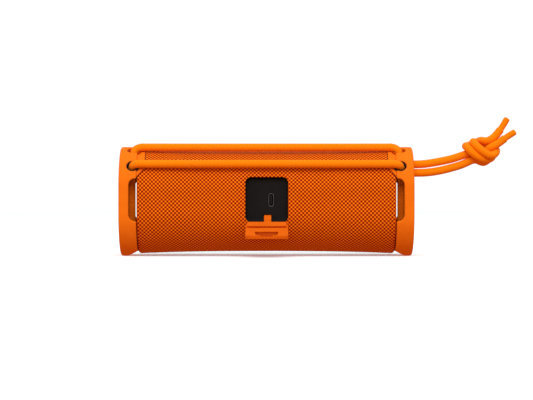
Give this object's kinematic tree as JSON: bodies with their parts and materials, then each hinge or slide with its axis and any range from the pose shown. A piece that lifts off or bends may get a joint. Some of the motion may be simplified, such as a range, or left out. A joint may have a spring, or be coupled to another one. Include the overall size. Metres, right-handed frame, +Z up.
{
  "type": "portable bluetooth speaker",
  "caption": "Portable barrel speaker in woven fabric between moulded end caps, with a knotted cord strap, an open charging-port cover and push buttons on top.",
  "frame": {"origin": "on the resting plane, at the centre of the footprint of the speaker with its port cover open; the free strap ends and their knot are not counted", "axes": "+X along the barrel towards the end where the strap's knot is, +Y towards the front with the drivers, -Y towards the charging port, +Z up"},
  "size_m": [0.2784, 0.1036, 0.0972],
  "materials": {
    "orange_rubber": "soft-touch moulded orange, matte",
    "orange_fabric": "coarse basket weave, orange over dark red",
    "orange_cord": "braided orange cord, tight fine weave",
    "black_plastic": "fine moulded matte black",
    "dark_plastic": "moulded, matte dark grey",
    "black_rubber": "moulded matte black",
    "steel": "nickel plated",
    "dark_steel": "dark phosphated steel",
    "board": "green solder mask, semi matte",
    "cell": "blue shrink sleeve",
    "cone": "pressed fibre cone, matte",
    "dome": "doped silk dome, dark grey",
    "light_pipe": "diffusing white"
  },
  "bodies": {
    "speaker": {"end_cap_right": "orange_rubber", "end_cap_left": "orange_rubber", "end_disc_right": "orange_rubber", "end_disc_left": "orange_rubber", "fabric_sleeve": "orange_fabric", "housing_rear": "dark_plastic", "housing_front": "dark_plastic", "end_plate_right": "dark_plastic", "end_plate_left": "dark_plastic", "radiator_surround_right": "black_rubber", "radiator_surround_left": "black_rubber", "woofer_basket": "dark_steel", "woofer_magnet": "dark_steel", "woofer_surround": "black_rubber", "tweeter_body": "dark_steel", "battery_cell": "cell", "battery_holder": "black_plastic", "main_board": "board", "button_board": "board", "usb_board": "board", "port_tray": "black_plastic", "usb_connector": "steel", "cover_tether": "orange_rubber", "button_strip": "orange_rubber", "status_light": "light_pipe", "strap_cord": "orange_cord", "strap_tail_upper": "orange_cord", "strap_tail_lower": "orange_cord", "strap_knot": "orange_cord", "strap_tip_upper": "orange_cord", "strap_tip_lower": "orange_cord", "cap_screw_right_1": "steel", "cap_screw_right_2": "steel", "cap_screw_right_3": "steel", "cap_screw_right_4": "steel", "cap_screw_left_1": "steel", "cap_screw_left_2": "steel", "cap_screw_left_3": "steel", "cap_screw_left_4": "steel"},
    "cover": {"port_cover": "orange_rubber"},
    "power_button": {"power_button": "orange_rubber"},
    "pairing_button": {"pairing_button": "orange_rubber"},
    "volume_down_button": {"volume_down_button": "orange_rubber"},
    "play_button": {"play_button": "orange_rubber"},
    "volume_up_button": {"volume_up_button": "orange_rubber"},
    "radiator_right": {"radiator_plate_right": "dark_steel"},
    "radiator_left": {"radiator_plate_left": "dark_steel"},
    "woofer_cone": {"woofer_cone": "cone"},
    "tweeter_dome": {"tweeter_dome": "dome"}
  },
  "joints": [
    {"name": "cover_hinge", "type": "hinge", "parent": "speaker", "child": "cover", "pos_m": [0, -0.01967, 0.0223], "axis": [-1, 0, 0], "range_deg": [-24, 107.4], "deforming": ["cover_tether"]},
    {"name": "power_press", "type": "slide", "parent": "speaker", "child": "power_button", "axis": [0, 0, -1], "range_m": [0, 0.0006], "stiffness_N_per_m": 1500, "springref_m": -0.0002},
    {"name": "pairing_press", "type": "slide", "parent": "speaker", "child": "pairing_button", "axis": [0, 0, -1], "range_m": [0, 0.0006], "stiffness_N_per_m": 1500, "springref_m": -0.0002},
    {"name": "volume_down_press", "type": "slide", "parent": "speaker", "child": "volume_down_button", "axis": [0, 0, -1], "range_m": [0, 0.0006], "stiffness_N_per_m": 1500, "springref_m": -0.0002},
    {"name": "play_press", "type": "slide", "parent": "speaker", "child": "play_button", "axis": [0, 0, -1], "range_m": [0, 0.0006], "stiffness_N_per_m": 1500, "springref_m": -0.0002},
    {"name": "volume_up_press", "type": "slide", "parent": "speaker", "child": "volume_up_button", "axis": [0, 0, -1], "range_m": [0, 0.0006], "stiffness_N_per_m": 1500, "springref_m": -0.0002},
    {"name": "radiator_right_travel", "type": "slide", "parent": "speaker", "child": "radiator_right", "axis": [1, 0, 0], "range_m": [-0.002, 0.002], "stiffness_N_per_m": 900},
    {"name": "radiator_left_travel", "type": "slide", "parent": "speaker", "child": "radiator_left", "axis": [-1, 0, 0], "range_m": [-0.002, 0.002], "stiffness_N_per_m": 900},
    {"name": "woofer_travel", "type": "slide", "parent": "speaker", "child": "woofer_cone", "axis": [0, 1, 0], "range_m": [-0.0015, 0.0015], "stiffness_N_per_m": 1500},
    {"name": "tweeter_travel", "type": "slide", "parent": "speaker", "child": "tweeter_dome", "axis": [0, 1, 0], "range_m": [-0.0002, 0.0002], "stiffness_N_per_m": 1500}
  ]
}
